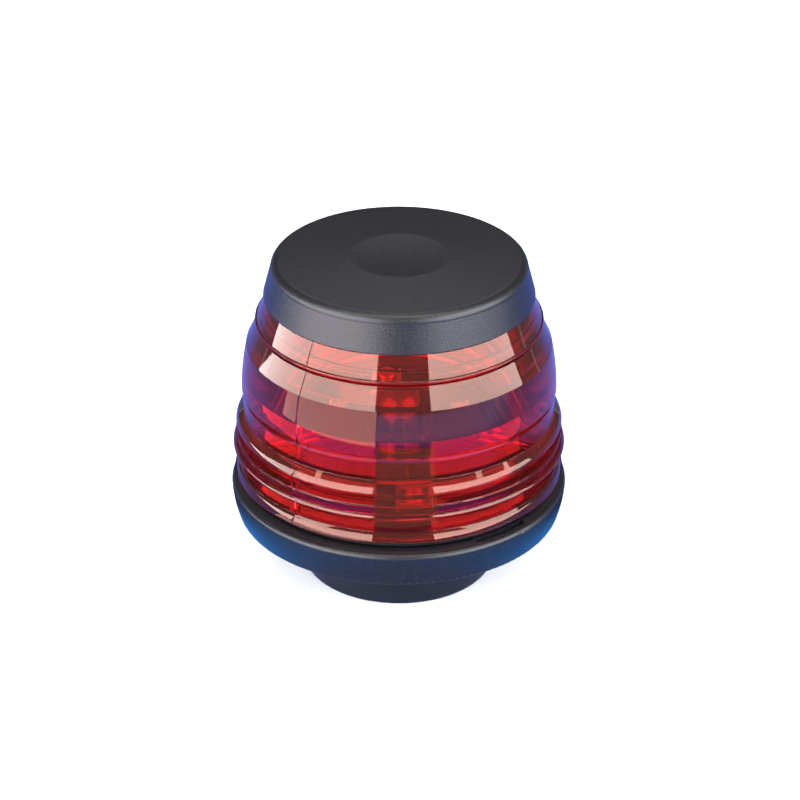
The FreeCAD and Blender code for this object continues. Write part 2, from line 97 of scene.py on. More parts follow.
class Body(Enum):
    """The bodies of the frame that a piece can ride on."""

    BASE = "base"
    SEAL = "seal_ring"
    LENS = "lens_unit"
    BULB = "bulb"


# ---- plain helpers ------------------------------------------------------------------------------
def linear(hex_colour: str) -> Colour:
    """Turns an sRGB hex colour to linear light.

    Args:
        hex_colour: A colour such as "#1a2b3c".

    Returns:
        Red, green and blue from 0 to 1, and an alpha of 1.
    """
    shares = [int(hex_colour[at:at + 2], 16) / 255 for at in (1, 3, 5)]
    red, green, blue = (s / 12.92 if s <= 0.04045 else ((s + 0.055) / 1.055) ** 2.4 for s in shares)
    return red, green, blue, 1.0


def grain_scale(size_mm: float) -> float:
    """Returns the texture scale at which one cell of a pattern is that many millimetres wide."""
    return 1 / (size_mm * MM)


def add_node(
    tree: bpy.types.NodeTree, kind: str, inputs: dict[str | int, object] | None = None, **settings: object
) -> bpy.types.Node:
    """Adds a node with its settings and links.

    Args:
        tree: The node tree that gets the node.
        kind: Blender's name of the node type.
        inputs: A value, or another node's output, for each named or numbered input.
        settings: The node's own properties.

    Returns:
        The new node.
    """
    node = tree.nodes.new(kind)
    for name, value in settings.items():
        setattr(node, name, value)
    for name, value in (inputs or {}).items():
        if isinstance(value, bpy.types.NodeSocket):
            tree.links.new(value, node.inputs[name])
        else:
            node.inputs[name].default_value = value
    return node


def arc_points(start: Point, through: Point, end: Point, steps: int = 14) -> list[Point]:
    """Samples the arc that runs from start through a middle point to end.

    Args:
        start: First point of the arc.
        through: Any point between the two ends.
        end: Last point of the arc.
        steps: Number of chords.

    Returns:
        The points from start to end, both included.
    """
    (ax, ay), (bx, by), (cx, cy) = start, through, end
    d = 2 * (ax * (by - cy) + bx * (cy - ay) + cx * (ay - by))
    a2, b2, c2 = ax * ax + ay * ay, bx * bx + by * by, cx * cx + cy * cy
    mx = (a2 * (by - cy) + b2 * (cy - ay) + c2 * (ay - by)) / d
    my = (a2 * (cx - bx) + b2 * (ax - cx) + c2 * (bx - ax)) / d
    radius = math.hypot(ax - mx, ay - my)
    first, middle, last = (math.atan2(y - my, x - mx) for x, y in (start, through, end))
    sweep = (last - first) % FULL_TURN
    if (middle - first) % FULL_TURN > sweep:
        sweep -= FULL_TURN
    angles = [first + sweep * step / steps for step in range(steps + 1)]
    return [(mx + radius * math.cos(a), my + radius * math.sin(a)) for a in angles]


@dataclass
class Section:
    """Closed half section of a turned piece, in millimetres, walked once round."""

    corners: list[tuple[Point, float]] = field(default_factory=list)

    def to(self, radius: float, height: float, rounding: float = 0.0) -> "Section":
        """Adds a straight run to a corner, and returns the section."""
        self.corners.append(((radius, height), rounding))
        return self

    def arc(self, through: Point, end: Point, rounding: float = 0.0) -> "Section":
        """Adds an arc from the last corner.

        Args:
            through: A point that the arc passes.
            end: The arc's last point.
            rounding: Radius of the corner at the arc's end.

        Returns:
            The section.
        """
        points = arc_points(self.corners[-1][0], through, end)
        self.corners += [(point, 0.0) for point in points[1:-1]]
        self.corners.append((end, rounding))
        return self

    def rows(self, end: Point, count: int) -> "Section":
        """Adds a straight run cut into even rows, for a wall that carries relief.

        Args:
            end: The run's last point.
            count: Number of rows.

        Returns:
            The section.
        """
        (r0, z0), _ = self.corners[-1]
        for step in range(1, count + 1):
            share = step / count
            self.corners.append(((r0 + (end[0] - r0) * share, z0 + (end[1] - z0) * share), 0.0))
        return self

    def outline(self, steps: int = 5) -> list[Point]:
        """Returns the section's points with its corners rounded.

        Args:
            steps: Number of chords on each rounded corner.

        Returns:
            The points of the closed outline.
        """
        points: list[Point] = []
        for at, (corner, rounding) in enumerate(self.corners):
            if rounding <= 0:
                points.append(corner)
                continue
            here = Vector(corner)
            before = Vector(self.corners[at - 1][0]) - here
            after = Vector(self.corners[(at + 1) % len(self.corners)][0]) - here
            reach = rounding / math.tan(before.angle(after) / 2)
            reach = min(reach, ROUNDING_SHARE * before.length, ROUNDING_SHARE * after.length)
            first, last = before.normalized() * reach, after.normalized() * reach
            for step in range(steps + 1):
                t = step / steps
                bend = here + first * (1 - t) ** 2 + last * t**2
                points.append((bend.x, bend.y))
        return points


def no_relief(radius: float, height: float, angle: float) -> float:
    """Returns a relief of nothing, for a wall that is plainly round."""
    return 0.0


def turned_mesh(outline: list[Point], angles: list[float], relief: Relief = no_relief) -> bmesh.types.BMesh:
    """Turns a closed half section about the axis.

    Args:
        outline: Points of the section as radius and height in millimetres.
        angles: The angles of the mesh's meridians, in radians.
        relief: Gives how far the wall stands out at a radius, height and angle, in millimetres.

    Returns:
        The turned mesh, in metres, with its normals facing out.
    """
    mesh = bmesh.new()
    rings = []
    for radius, height in outline:
        if radius < MM:
            rings.append([mesh.verts.new((0, 0, height * MM))])
            continue
        reaches = [(a, (radius + relief(radius, height, a)) * MM) for a in angles]
        rings.append([mesh.verts.new((r * math.cos(a), r * math.sin(a), height * MM)) for a, r in reaches])
    for low, high in zip(rings, rings[1:] + rings[:1]):
        if len(low) == len(high) == 1:
            continue
        for here in range(len(angles)):
            there = (here + 1) % len(angles)
            bottom = [low[here % len(low)], low[there % len(low)]]
            top = [high[there % len(high)], high[here % len(high)]]
            mesh.faces.new(dict.fromkeys(bottom + top))
    bmesh.ops.recalc_face_normals(mesh, faces=mesh.faces)
    return mesh


def placed(name: str, data: bpy.types.ID) -> bpy.types.Object:
    """Makes an object of a mesh or a camera, and puts it in the scene."""
    thing = bpy.data.objects.new(name, data)
    bpy.context.scene.collection.objects.link(thing)
    return thing


def even_angles(count: int) -> list[float]:
    """Returns the angles of evenly spaced meridians."""
    return [FULL_TURN * step / count for step in range(count)]


def as_piece(name: str, mesh: bmesh.types.BMesh, body: Body, sharp_deg: float = 40.0) -> bpy.types.Object:
    """Makes an object of a mesh and lets it ride on a body.

    Args:
        name: The piece's name.
        mesh: The mesh, in the frame and in metres. It is freed.
        body: The body that the piece moves with.
        sharp_deg: Faces that meet at a larger angle keep a hard edge.

    Returns:
        The new piece.
    """
    data = bpy.data.meshes.new(name)
    mesh.to_mesh(data)
    mesh.free()
    data.polygons.foreach_set("use_smooth", [True] * len(data.polygons))
    data.set_sharp_from_angle(angle=math.radians(sharp_deg))
    piece = placed(name, data)
    even = piece.modifiers.new("even_shading", "WEIGHTED_NORMAL")
    even.keep_sharp = True
    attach(piece, body.value)
    return piece


# ---- finishes -----------------------------------------------------------------------------------
@dataclass(frozen=True)
class Finish:
    """A finish, which makes its material once and puts it on pieces. Those of the studio have no slot."""

    slot: str = ""

    def shade(self, tree: bpy.types.NodeTree, place: bpy.types.NodeSocket) -> bpy.types.Node:
        """Builds the shader from a coordinate in metres and returns it."""
        raise NotImplementedError

    def inside(self, tree: bpy.types.NodeTree) -> bpy.types.Node | None:
        """Builds what light meets inside the piece, and returns it."""
        return None

    def material(self) -> bpy.types.Material:
        """Makes the finish's material at the first call.

        Returns:
            The material, the same at every call.
        """
        name = type(self).__name__
        known = bpy.data.materials.get(name)
        if known:
            return known
        made = bpy.data.materials.new(name)
        made.use_nodes = True
        tree = made.node_tree
        tree.nodes.clear()
        place = add_node(tree, "ShaderNodeTexCoord").outputs["Object"]
        links = {"Surface": self.shade(tree, place).outputs[0]}
        volume = self.inside(tree)
        if volume:
            links["Volume"] = volume.outputs[0]
        add_node(tree, "ShaderNodeOutputMaterial", links)
        return made

    def dress(self, *pieces: bpy.types.Object) -> None:
        """Puts the finish on pieces, in place of any they have.

        Args:
            pieces: Pieces of the scene or nodes of the frame.
        """
        for piece in pieces:
            piece.data.materials.clear()
            piece.data.materials.append(self.material())


@dataclass(frozen=True)
class MouldedAbs(Finish):
    """ABS, injection moulded against a spark-eroded tool: a charcoal skin with a fine even grain that
    breaks every reflection into a soft glow with a sparkle in it. The grain is drawn at twice its size, so
    that it shows."""

    slot: str = "black_abs"
    dark: str = "#020203"
    light: str = "#141418"
    spread: tuple[float, float] = (0.35, 0.65)
    grain_mm: float = 0.34
    depth_mm: float = 0.06
    smooth: float = 0.3
    rough: float = 0.44
    gloss: float = 0.42

    def shade(self, tree: bpy.types.NodeTree, place: bpy.types.NodeSocket) -> bpy.types.Node:
        """Builds the grained skin.

        Args:
            tree: The material's node tree.
            place: The coordinate in metres.

        Returns:
            The shader.
        """
        grain = add_node(
            tree, "ShaderNodeTexNoise",
            {"Vector": place, "Scale": grain_scale(self.grain_mm), "Detail": 2.0, "Roughness": 0.6},
        )
        tone = add_node(tree, "ShaderNodeValToRGB", {"Fac": grain.outputs["Fac"]})
        low, high = tone.color_ramp.elements
        low.position, high.position = self.spread
        low.color, high.color = linear(self.dark), linear(self.light)
        roughness = add_node(
            tree, "ShaderNodeMapRange",
            {"Value": grain.outputs["Fac"], "To Min": self.smooth, "To Max": self.rough},
        )
        bump = add_node(
            tree, "ShaderNodeBump",
            {"Height": grain.outputs["Fac"], "Strength": 0.7, "Distance": self.depth_mm * MM},
        )
        return add_node(
            tree, "ShaderNodeBsdfPrincipled",
            {
                "Base Color": tone.outputs["Color"], "Roughness": roughness.outputs["Result"],
                "IOR": 1.54, "Specular IOR Level": self.gloss, "Normal": bump.outputs["Normal"],
            },
        )


@dataclass(frozen=True)
class DyedPolycarbonate(Finish):
    """Clear polycarbonate dyed red, moulded in a polished tool: mirror-smooth, with sharp reflections,
    and the redder and darker the longer the way of the light through it."""

    slot: str = "red_polycarbonate"
    tint: str = "#ff5a50"
    clear: float = 0.985
    kept: str = "#ea187c"
    per_metre: float = 185.0
    # painted warm tint on every reflection in the lens, standing in for the warm light of the softboxes,
    # which are cool white
    painted_warm_reflection_tint: str = "#ffd9c5"
    ripple_mm: float = 11.0

    def shade(self, tree: bpy.types.NodeTree, place: bpy.types.NodeSocket) -> bpy.types.Node:
        """Builds the polished skin, with the faint ripple that the flow of the melt leaves.

        Args:
            tree: The material's node tree.
            place: The coordinate in metres.

        Returns:
            The shader.
        """
        ripple = add_node(
            tree, "ShaderNodeTexNoise", {"Vector": place, "Scale": grain_scale(self.ripple_mm), "Detail": 1.0}
        )
        bump = add_node(
            tree, "ShaderNodeBump", {"Height": ripple.outputs["Fac"], "Strength": 0.12, "Distance": 0.05 * MM}
        )
        return add_node(
            tree, "ShaderNodeBsdfPrincipled",
            {
                "Base Color": linear(self.tint), "Roughness": 0.02, "IOR": 1.585,
                # Specular Tint: painted warm reflection, standing in for warm softbox light
                "Specular Tint": linear(self.painted_warm_reflection_tint), "Transmission Weight": self.clear,
                "Normal": bump.outputs["Normal"],
            },
        )

    def inside(self, tree: bpy.types.NodeTree) -> bpy.types.Node | None:
        """Builds the dye in the wall."""
        return add_node(
            tree, "ShaderNodeVolumeAbsorption", {"Color": linear(self.kept), "Density": self.per_metre}
        )


@dataclass(frozen=True)
class MouldedRubber(Finish):
    """Nitrile rubber, compression moulded: deep black with a dull, slightly mottled skin."""

    slot: str = "black_rubber"
    dark: str = "#080808"
    light: str = "#101011"
    mottle_mm: float = 0.8
    gloss: float = 0.25

    def shade(self, tree: bpy.types.NodeTree, place: bpy.types.NodeSocket) -> bpy.types.Node:
        """Builds the dull skin.

        Args:
            tree: The material's node tree.
            place: The coordinate in metres.

        Returns:
            The shader.
        """
        mottle = add_node(
            tree, "ShaderNodeTexNoise", {"Vector": place, "Scale": grain_scale(self.mottle_mm), "Detail": 4.0}
        )
        tone = add_node(tree, "ShaderNodeValToRGB", {"Fac": mottle.outputs["Fac"]})
        low, high = tone.color_ramp.elements
        low.color, high.color = linear(self.dark), linear(self.light)
        roughness = add_node(
            tree, "ShaderNodeMapRange", {"Value": mottle.outputs["Fac"], "To Min": 0.7, "To Max": 0.9}
        )
        bump = add_node(
            tree, "ShaderNodeBump", {"Height": mottle.outputs["Fac"], "Strength": 0.3, "Distance": 0.03 * MM}
        )
        return add_node(
            tree, "ShaderNodeBsdfPrincipled",
            {
                "Base Color": tone.outputs["Color"], "Roughness": roughness.outputs["Result"],
                "IOR": 1.52, "Specular IOR Level": self.gloss, "Normal": bump.outputs["Normal"],
            },
        )


@dataclass(frozen=True)
class MouldedPbt(Finish):
    """Glass-filled PBT, moulded: near black and dull, with short pale fibres just under the skin."""

    slot: str = "socket_pbt"
    dark: str = "#161617"
    fibre: str = "#3a3a3c"
    fibre_mm: float = 0.35
    fibre_share: float = 0.3

    def shade(self, tree: bpy.types.NodeTree, place: bpy.types.NodeSocket) -> bpy.types.Node:
        """Builds the fibre-flecked skin.

        Args:
            tree: The material's node tree.
            place: The coordinate in metres.

        Returns:
            The shader.
        """
        flecks = add_node(
            tree, "ShaderNodeTexVoronoi", {"Vector": place, "Scale": grain_scale(self.fibre_mm)}
        )
        tone = add_node(tree, "ShaderNodeValToRGB", {"Fac": flecks.outputs["Distance"]})
        core, between = tone.color_ramp.elements
        between.position = self.fibre_share
        core.color, between.color = linear(self.fibre), linear(self.dark)
        bump = add_node(
            tree, "ShaderNodeBump",
            {"Height": flecks.outputs["Distance"], "Strength": 0.2, "Distance": 0.02 * MM},
        )
        return add_node(
            tree, "ShaderNodeBsdfPrincipled",
            {
                "Base Color": tone.outputs["Color"], "Roughness": 0.5, "IOR": 1.57,
                "Normal": bump.outputs["Normal"],
            },
        )


@dataclass(frozen=True)
class DrawnMetal(Finish):
    """Metal whose rolling or drawing left fine lines one way, which stretch its highlights."""

    colour: str = "#c8c8cc"
    line_mm: float = 0.12
    smooth: float = 0.22
    rough: float = 0.38

    def shade(self, tree: bpy.types.NodeTree, place: bpy.types.NodeSocket) -> bpy.types.Node:
        """Builds the lined surface.

        Args:
            tree: The material's node tree.
            place: The coordinate in metres.

        Returns:
            The shader.
        """
        lines = add_node(tree, "ShaderNodeMapping", {"Vector": place, "Scale": (0.05, 1.0, 1.0)})
        streaks = add_node(
            tree, "ShaderNodeTexNoise",
            {"Vector": lines.outputs["Vector"], "Scale": grain_scale(self.line_mm), "Detail": 2.0},
        )
        roughness = add_node(
            tree, "ShaderNodeMapRange",
            {"Value": streaks.outputs["Fac"], "To Min": self.smooth, "To Max": self.rough},
        )
        bump = add_node(
            tree, "ShaderNodeBump",
            {"Height": streaks.outputs["Fac"], "Strength": 0.15, "Distance": 0.01 * MM},
        )
        return add_node(
            tree, "ShaderNodeBsdfPrincipled",
            {
                "Base Color": linear(self.colour), "Metallic": 1.0,
                "Roughness": roughness.outputs["Result"], "Normal": bump.outputs["Normal"],
            },
        )


@dataclass(frozen=True)
class RolledBrass(DrawnMetal):
    """Brass strip, cold rolled and pressed: warm yellow with straight rolling lines."""

    slot: str = "brass"
    colour: str = "#d9bc72"


@dataclass(frozen=True)
class ZincPlate(DrawnMetal):
    """Steel, zinc plated in a barrel: cool silver, a little cloudy."""

    slot: str = "zinc_steel"
    colour: str = "#cdd0d4"
    line_mm: float = 0.6
    smooth: float = 0.26
    rough: float = 0.42


@dataclass(frozen=True)
class RolledAluminium(DrawnMetal):
    """Aluminium sheet, bright rolled: pale and soft in its reflection, with long rolling lines."""

    slot: str = "aluminium_sheet"
    colour: str = "#dcdee0"
    line_mm: float = 0.25


@dataclass(frozen=True)
class DrawnNickel(DrawnMetal):
    """Nickel wire, drawn through a die: bright and even."""

    slot: str = "nickel_wire"
    colour: str = "#c9c3b4"
    smooth: float = 0.12
    rough: float = 0.22


@dataclass(frozen=True)
class DrawnTungsten(DrawnMetal):
    """Tungsten wire, drawn and coiled: dark grey and dull."""

    slot: str = "tungsten"
    colour: str = "#6e6e72"
    smooth: float = 0.3
    rough: float = 0.45


@dataclass(frozen=True)
class BlownGlass(Finish):
    """Soda-lime glass, blown and pinched shut: clear and glossy, with slow waves that bend the view."""

    slot: str = "bulb_glass"
    tint: str = "#f2f4f2"
    clear: float = 1.0
    wave_mm: float = 3.0

    def shade(self, tree: bpy.types.NodeTree, place: bpy.types.NodeSocket) -> bpy.types.Node:
        """Builds the clear, slightly wavy skin.

        Args:
            tree: The material's node tree.
            place: The coordinate in metres.

        Returns:
            The shader.
        """
        wave = add_node(
            tree, "ShaderNodeTexNoise", {"Vector": place, "Scale": grain_scale(self.wave_mm), "Detail": 1.0}
        )
        bump = add_node(
            tree, "ShaderNodeBump", {"Height": wave.outputs["Fac"], "Strength": 0.2, "Distance": 0.05 * MM}
        )
        return add_node(
            tree, "ShaderNodeBsdfPrincipled",
            {
                "Base Color": linear(self.tint), "Roughness": 0.03, "IOR": 1.52,
                "Transmission Weight": self.clear, "Normal": bump.outputs["Normal"],
            },
        )


@dataclass(frozen=True)
class SilicaFrost(Finish):
    """Silica powder, dusted inside the crown of the glass: matt white, and it glows evenly."""

    slot: str = "bulb_glass"
    pale: str = "#8c8a86"
    thick: str = "#9c9a96"
    powder_mm: float = 0.25

    def shade(self, tree: bpy.types.NodeTree, place: bpy.types.NodeSocket) -> bpy.types.Node:
        """Builds the powdery skin.

        Args:
            tree: The material's node tree.
            place: The coordinate in metres.

        Returns:
            The shader.
        """
        powder = add_node(
            tree, "ShaderNodeTexNoise", {"Vector": place, "Scale": grain_scale(self.powder_mm), "Detail": 3.0}
        )
        tone = add_node(tree, "ShaderNodeValToRGB", {"Fac": powder.outputs["Fac"]})
        low, high = tone.color_ramp.elements
        low.color, high.color = linear(self.pale), linear(self.thick)
        bump = add_node(
            tree, "ShaderNodeBump", {"Height": powder.outputs["Fac"], "Strength": 0.2, "Distance": 0.02 * MM}
        )
        return add_node(
            tree, "ShaderNodeBsdfPrincipled",
            {
                "Base Color": tone.outputs["Color"], "Roughness": 0.9, "Specular IOR Level": 0.1,
                "Normal": bump.outputs["Normal"],
            },
        )


# ---- lens ---------------------------------------------------------------------------------------
@dataclass(frozen=True)
class ThreadRib:
    """One turn of a screw thread's rib, as relief on a round wall."""

    middle_z: float
    start_deg: float
    pitch: float
    depth: float = 0.8
    root_half: float = 0.65
    crest_half: float = 0.4
    run_out_deg: float = 5.0

    def height_off_wall(self, height: float, angle: float) -> float:
        """Works out how far the rib stands off its wall.

        Args:
            height: Height in millimetres.
            angle: Angle about the axis in radians.

        Returns:
            The rib's height off the wall in millimetres.
        """
        along = (math.degrees(angle) - self.start_deg) % 360
        away = abs(height - self.middle_z - self.pitch * along / 360)
        flank = (self.root_half - away) / (self.root_half - self.crest_half)
        ends = min(along, 360 - along) / self.run_out_deg
        return self.depth * max(0.0, min(1.0, flank, ends))


@dataclass
class Lens:
    """Red lens: two bands and a barrel over three rings, with a threaded skirt and a top flange."""

    finish: Finish = field(default_factory=DyedPolycarbonate)
    edge_round: float = 0.16
    fine_round: float = 0.1
    skirt_r: float = 29.35
    skirt_in_r: float = 27.2
    skirt_shoulder_z: float = 22.1
    flange_in_r: float = 15.5
    neck_r: float = 25.0
    flange_low_z: float = 60.8
    seam_deg: tuple[float, float] = (-129.0, 51.0)
    seam_half_mm: float = 0.18
    seam_height_mm: float = 0.12
    meridians: int = 288
    seam_clear_deg: float = 0.15
    thread_rows: int = 40
    base_rib_z: float = 15.75
    rib_start_deg: float = -40.0
    pitch: float = 3.0
    band_top_z: float = 60.6
    between_walls: Point = (40.1, 0.25)  # radius at height 0, and fall per millimetre, of a cone in the wall
    inner_steps: tuple[Point, ...] = (
        (29.7, 24.4), (29.35, 26.0), (28.55, 27.4), (29.4, 27.55), (28.75, 30.9), (27.7, 32.75),
        (28.75, 32.9), (27.75, 38.0), (28.65, 38.15), (27.6, 42.7), (27.8, 42.85),
        (27.6, 50.0), (26.85, 53.2), (26.2, 53.35), (25.5, 56.5), (24.85, 56.65), (24.2, 59.5),
    )

    def section(self) -> Section:
        """Draws the half section, from the flange down the outside and up the inside.

        Returns:
            The section.
        """
        low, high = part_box("lens")
        bottom, top = low.z / MM, high.z / MM
        outside = (
            Section()
            .to(self.flange_in_r, top, self.fine_round)
            .to(self.neck_r, top, self.fine_round)
            .to(self.neck_r, self.band_top_z, self.fine_round)
            .to(26.45, self.band_top_z, self.edge_round)
            .to(28.42, 55.95, self.fine_round)
            .arc((28.78, 55.68), (28.68, 55.3), 0.05)
            .to(27.8, 55.0, self.fine_round)
            .to(28.5, 54.72, 0.15)
            .to(30.6, 50.3, self.edge_round)
            .arc((31.23, 46.6), (31.62, 43.0), 0.6)
            .to(31.7, 41.2, 0.4)
            .arc((31.62, 40.2), (31.36, 39.5), 0.1)
            .to(31.36, 35.65, 0.12)
            .to(32.42, 34.55, 0.3)
            .arc((32.7, 34.0), (32.93, 33.35), 0.06)
            .to(32.8, 33.2, self.fine_round)
            .to(32.85, 30.75, 0.15)
            .to(33.08, 30.55, self.fine_round)
            .to(33.2, 28.95, 0.1)
            .arc((33.42, 28.68), (33.57, 28.25), 0.06)
            .to(32.3, 27.85, self.fine_round)
            .to(32.34, 24.6, self.fine_round)
            .to(32.74, 24.15, 0.2)
            .arc((33.0, 23.5), (33.22, 22.75), 0.08)
            .arc((33.05, 22.5), (32.6, 22.35))
            .to(31.9, self.skirt_shoulder_z, self.fine_round)
            .to(self.skirt_r, self.skirt_shoulder_z, self.fine_round)
        )
        inside = outside.rows((self.skirt_r, bottom), self.thread_rows)
        inside.to(self.skirt_in_r, bottom, self.edge_round)
        inside.to(self.skirt_in_r, 23.8, 0.3)
        for radius, height in self.inner_steps:
            inside.to(radius, height, self.fine_round)
        return (
            inside.to(23.5, self.flange_low_z - 0.9, 0.3)
            .arc((23.1, self.flange_low_z - 0.25), (22.4, self.flange_low_z), 0.3)
            .to(self.flange_in_r, self.flange_low_z, self.fine_round)
        )

    def angles(self) -> list[float]:
        """Spaces the meridians evenly, with more of them across the two mould seams.

        Returns:
            The angles in radians, in order.
        """
        reach = math.degrees(self.seam_half_mm / self.skirt_r)
        steps = [reach * share for share in (-1, -0.5, 0, 0.5, 1)]
        seams = [math.radians(seam + step) % FULL_TURN for seam in self.seam_deg for step in steps]
        clear = math.radians(self.seam_clear_deg)
        even = [a for a in even_angles(self.meridians) if min(abs(a - s) for s in seams) > clear]
        return sorted(even + seams)

    def relief(self, radius: float, height: float, angle: float) -> float:
        """Works out how far the mould seam or the thread's rib stands off the wall.

        Args:
            radius: Radius of the wall in millimetres.
            height: Height in millimetres.
            angle: Angle about the axis in radians.

        Returns:
            The height off the wall in millimetres.
        """
        if height < self.skirt_shoulder_z - self.fine_round and radius > self.skirt_r - TOUCH_MM:
            return self.rib().height_off_wall(height, angle)
        cone_r, fall = self.between_walls
        inner_wall = min(self.skirt_r - TOUCH_MM, cone_r - height * fall)
        if radius < inner_wall or height > self.band_top_z:
            return 0.0
        off = min(abs((math.degrees(angle) - seam + 180) % 360 - 180) for seam in self.seam_deg)
        share = 1 - math.radians(off) * radius / self.seam_half_mm
        return self.seam_height_mm * max(0.0, share)

    def rib(self) -> ThreadRib:
        """Returns the rib, whose middle lies half a pitch above the base's rib."""
        middle_z = self.base_rib_z + self.pitch * (0.5 + self.rib_start_deg / 360)
        return ThreadRib(middle_z=middle_z, start_deg=self.rib_start_deg, pitch=self.pitch)

    def build(self) -> list[bpy.types.Object]:
        """Builds the lens and dresses it.

        Returns:
            The lens.
        """
        mesh = turned_mesh(self.section().outline(), self.angles(), self.relief)
        shell = as_piece("lens_shell", mesh, Body.LENS)
        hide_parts("lens")
        self.finish.dress(shell)
        return [shell]


# ---- cap ----------------------------------------------------------------------------------------
@dataclass
class Cap:
    """Black cap with a dished top, the gasket and the metal disc under it, and its three screws."""

    finish: Finish = field(default_factory=MouldedAbs)
    low_z: float = 60.7
    low_r: float = 27.07
    side_r: float = 25.6
    round_r: float = 1.8
    ceiling_z: float = 66.6
    skirt_in_r: float = 25.2
    seat_r: float = 20.6
    seat_z: float = 64.4
    dish_r: float = 9.8
    dish_depth: float = 0.4
    crown: float = 0.7
    meridians: int = 256
    boss_r: float = 3.7
    boss_hole_r: float = 1.5
    boss_low_z: float = 63.25
    screw_ring_r: float = 18.0
    screw_angles: tuple[float, ...] = (30.0, 150.0, 270.0)

    def section(self) -> Section:
        """Draws the half section, from the ceiling down the inside and up the outside.

        Returns:
            The section.
        """
        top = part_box("cap")[1].z / MM
        edge = top - self.crown
        floor = top - self.dish_depth
        return (
            Section()
            .to(0, self.ceiling_z)
            .to(self.seat_r, self.ceiling_z, 0.2)
            .to(self.seat_r, self.seat_z, 0.1)
            .to(self.skirt_in_r, self.seat_z, 0.2)
            .to(self.skirt_in_r, self.low_z, 0.1)
            .to(self.low_r - 0.15, self.low_z, 0.1)
            .to(self.low_r, self.low_z + 0.25, 0.15)
            .to(self.side_r, edge - self.round_r, 0.4)
            .arc((self.side_r - 0.65, edge - 0.45), (self.side_r - 2.0, edge), 0.5)
            .to(self.dish_r, top, 0.12)
            .arc((self.dish_r / 2, floor + self.dish_depth / 4), (0, floor))
        )

    def boss(self, degrees: float) -> bmesh.types.BMesh:
        """Builds the hollow boss of one screw, in its place.

        Args:
            degrees: The screw's angle about the axis.

        Returns:
            The boss's mesh, in metres.
        """
        outline = (
            Section()
            .to(self.boss_hole_r, self.boss_low_z)
            .to(self.boss_r, self.boss_low_z, 0.15)
            .to(self.boss_r, self.ceiling_z + 0.3)
            .to(self.boss_hole_r, self.ceiling_z + 0.3)
            .outline()
        )
        mesh = turned_mesh(outline, even_angles(48))
        angle = math.radians(degrees)
        reach = self.screw_ring_r * MM
        bmesh.ops.translate(mesh, vec=(reach * math.cos(angle), reach * math.sin(angle), 0), verts=mesh.verts)
        return mesh

    def build(self) -> list[bpy.types.Object]:
        """Builds the cap and dresses it and what it holds.

        Returns:
            The cap's shell and its bosses.
        """
        turned = turned_mesh(self.section().outline(), even_angles(self.meridians))
        shell = as_piece("cap_shell", turned, Body.LENS)
        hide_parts("cap")
        bosses = [
            as_piece(f"cap_boss_{number}", self.boss(degrees), Body.LENS)
            for number, degrees in enumerate(self.screw_angles, 1)
        ]
        self.finish.dress(shell, *bosses)
        nodes = frame["nodes"]
        MouldedRubber().dress(nodes["cap_gasket"])
        RolledAluminium().dress(nodes["heat_shield"])
        ZincPlate().dress(nodes["cap_screws"])
        return [shell, *bosses]


# ---- base and carrier ---------------------------------------------------------------------------
@dataclass
class Base:
    """Black base with its foot, the seals and the carrier of the bulb's socket."""

    finish: Finish = field(default_factory=MouldedAbs)

    def build(self) -> list[bpy.types.Object]:
        """Dresses the nodes of the base.

        Returns:
            No piece, as every node keeps its shape.
        """
        nodes = frame["nodes"]
        self.finish.dress(nodes["base_housing"], nodes["lamp_carrier"])
        MouldedRubber().dress(nodes["foot_seal"], nodes["cable_grommet"], nodes["lens_seal"])
        MouldedPbt().dress(nodes["socket_body"])
        for name in ("contact_right", "contact_left", "terminal_right", "terminal_left", "contact_rivets"):
            RolledBrass().dress(nodes[name])
        for name in ("carrier_screws", "clamp_washers", "terminal_screws"):
            ZincPlate().dress(nodes[name])
        return []


